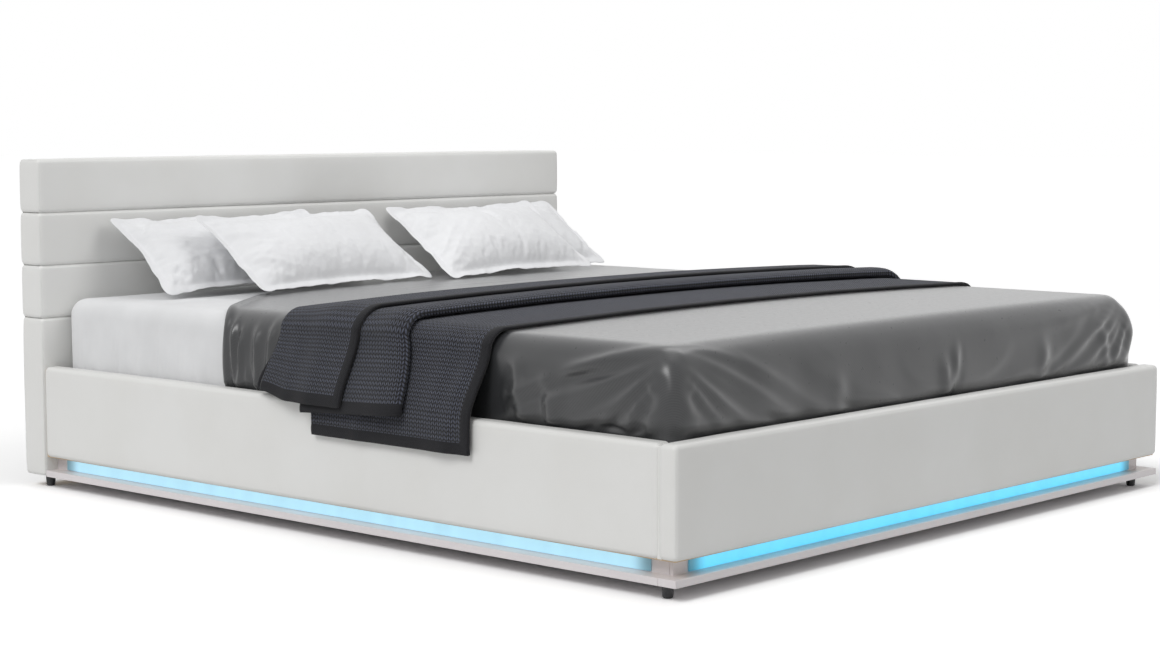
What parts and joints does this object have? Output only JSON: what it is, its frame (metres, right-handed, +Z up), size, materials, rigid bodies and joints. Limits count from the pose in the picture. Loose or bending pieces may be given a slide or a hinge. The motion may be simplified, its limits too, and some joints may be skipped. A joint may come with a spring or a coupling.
{
  "type": "upholstered storage bed",
  "caption": "Leather-upholstered storage bed with a lit plinth, banded headboard, lifting slatted platform, mattress, duvet, throw and pillows.",
  "frame": {"origin": "on the floor under the middle of the bed", "axes": "+X to the right seen from the foot, +Y from the foot towards the headboard, +Z up"},
  "size_m": [1.9764, 2.146, 0.827],
  "materials": {
    "leather": "satin",
    "timber": "raw",
    "skirt_board": "satin",
    "backing": "matte",
    "floor_panel": "matte",
    "black_steel": "satin",
    "bright_steel": "polished",
    "foot_plastic": "matte",
    "light_strip": "glossy",
    "housing": "matte",
    "slat_wood": "satin",
    "webbing": "matte",
    "white_cotton": "matte",
    "grey_satin": "satin",
    "charcoal_knit": "matte"
  },
  "bodies": {
    "frame": {"headboard_core": "timber", "headboard_back": "backing", "headboard_cover": "leather", "foot_panel_core": "timber", "foot_panel_cover": "leather", "side_rail_left_core": "timber", "side_rail_right_core": "timber", "side_rail_left_cover": "leather", "side_rail_right_cover": "leather", "skirt_left": "skirt_board", "skirt_right": "skirt_board", "skirt_foot": "skirt_board", "led_strip_left": "light_strip", "led_strip_right": "light_strip", "led_strip_foot": "light_strip", "led_controller": "housing", "front_foot_left": "foot_plastic", "front_foot_right": "foot_plastic", "rear_foot_left": "foot_plastic", "rear_foot_right": "foot_plastic", "floor_beam": "timber", "floor_panel_left": "floor_panel", "floor_panel_right": "floor_panel", "corner_bracket_foot_left": "black_steel", "corner_bracket_foot_right": "black_steel", "corner_bracket_head_left": "black_steel", "corner_bracket_head_right": "black_steel", "lift_plate_left": "black_steel", "lift_plate_right": "black_steel"},
    "main_arms": {"main_arm_left": "black_steel", "main_arm_right": "black_steel"},
    "guide_arms": {"guide_arm_left": "black_steel", "guide_arm_right": "black_steel"},
    "strut_cylinders": {"strut_cylinder_left": "black_steel", "strut_cylinder_right": "black_steel"},
    "strut_rods": {"strut_rod_left": "bright_steel", "strut_rod_right": "bright_steel"},
    "platform": {"platform_side_left": "black_steel", "platform_side_right": "black_steel", "platform_cross_foot": "black_steel", "platform_cross_head": "black_steel", "platform_spine": "black_steel", "slat_row_01": "slat_wood", "slat_row_02": "slat_wood", "slat_row_03": "slat_wood", "slat_row_04": "slat_wood", "slat_row_05": "slat_wood", "slat_row_06": "slat_wood", "slat_row_07": "slat_wood", "slat_row_08": "slat_wood", "slat_row_09": "slat_wood", "slat_row_10": "slat_wood", "lift_strap": "webbing", "mattress": "white_cotton", "duvet": "grey_satin", "throw": "charcoal_knit", "pillow_back_left": "white_cotton", "pillow_back_right": "white_cotton", "pillow_front_left": "white_cotton", "pillow_front_right": "white_cotton"}
  },
  "joints": [
    {"name": "platform_lift", "type": "hinge", "parent": "frame", "child": "main_arms", "pos_m": [0, -0.011, 0.108], "axis": [1, 0, 0], "range_deg": [0, 48.5]},
    {"name": "guide_arm_swing", "type": "hinge", "parent": "frame", "child": "guide_arms", "pos_m": [0, 0.129, 0.178], "axis": [1, 0, 0], "range_deg": [0, 54.1]},
    {"name": "platform_tilt", "type": "hinge", "parent": "main_arms", "child": "platform", "pos_m": [0, 0.439, 0.158], "axis": [1, 0, 0], "range_deg": [-68.6, 0]},
    {"name": "strut_swing", "type": "hinge", "parent": "frame", "child": "strut_cylinders", "pos_m": [0, 0.189, 0.1], "axis": [1, 0, 0], "range_deg": [0, 9.1]},
    {"name": "strut_slide", "type": "slide", "parent": "strut_cylinders", "child": "strut_rods", "axis": [0, -0.8518, 0.5238], "range_m": [0, 0.0748]}
  ],
  "couplings": [
    {"joint": "guide_arm_swing", "follows": "platform_lift", "ratio": 1.1134},
    {"joint": "platform_tilt", "follows": "platform_lift", "ratio": -1.4124},
    {"joint": "strut_swing", "follows": "platform_lift", "ratio": 0.18454},
    {"joint": "strut_slide", "follows": "platform_lift", "m_per_rad": 0.088129}
  ]
}
